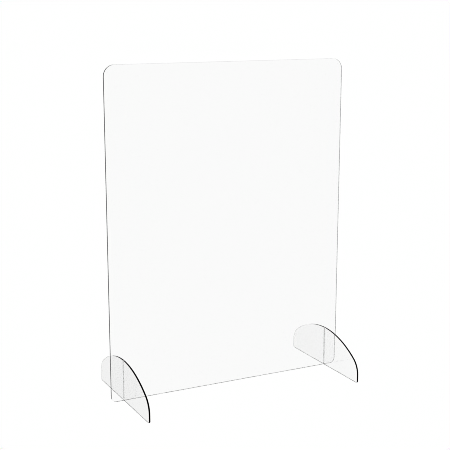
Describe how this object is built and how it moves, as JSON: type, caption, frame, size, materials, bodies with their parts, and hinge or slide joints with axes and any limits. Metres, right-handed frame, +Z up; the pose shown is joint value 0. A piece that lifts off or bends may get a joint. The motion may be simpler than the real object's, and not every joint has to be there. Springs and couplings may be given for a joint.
{
  "type": "countertop sneeze guard",
  "caption": "Clear acrylic countertop barrier: an upright rectangular panel with rounded corners, slotted across half-moon feet at each side.",
  "frame": {"origin": "on the counter, at the middle of the panel's bottom edge", "axes": "+X along the panel from the left foot to the right foot, -Y to the customer's side, +Z up"},
  "size_m": [0.6, 0.3, 0.76],
  "materials": {
    "clear_panel": "clear cast acrylic sheet, polished faces and polished edges",
    "clear_foot": "clear cast acrylic sheet, polished faces and polished edges"
  },
  "bodies": {
    "left_foot": {"left_foot": "clear_foot"},
    "panel": {"panel": "clear_panel"},
    "right_foot": {"right_foot": "clear_foot"}
  },
  "joints": [
    {"name": "panel_lift", "type": "slide", "parent": "left_foot", "child": "panel", "axis": [0, 0, 1], "range_m": [0, 0.106]},
    {"name": "right_foot_release", "type": "slide", "parent": "panel", "child": "right_foot", "axis": [0, 0, -1], "range_m": [0, 0.106]}
  ],
  "couplings": [
    {"joint": "right_foot_release", "follows": "panel_lift", "ratio": 1}
  ]
}
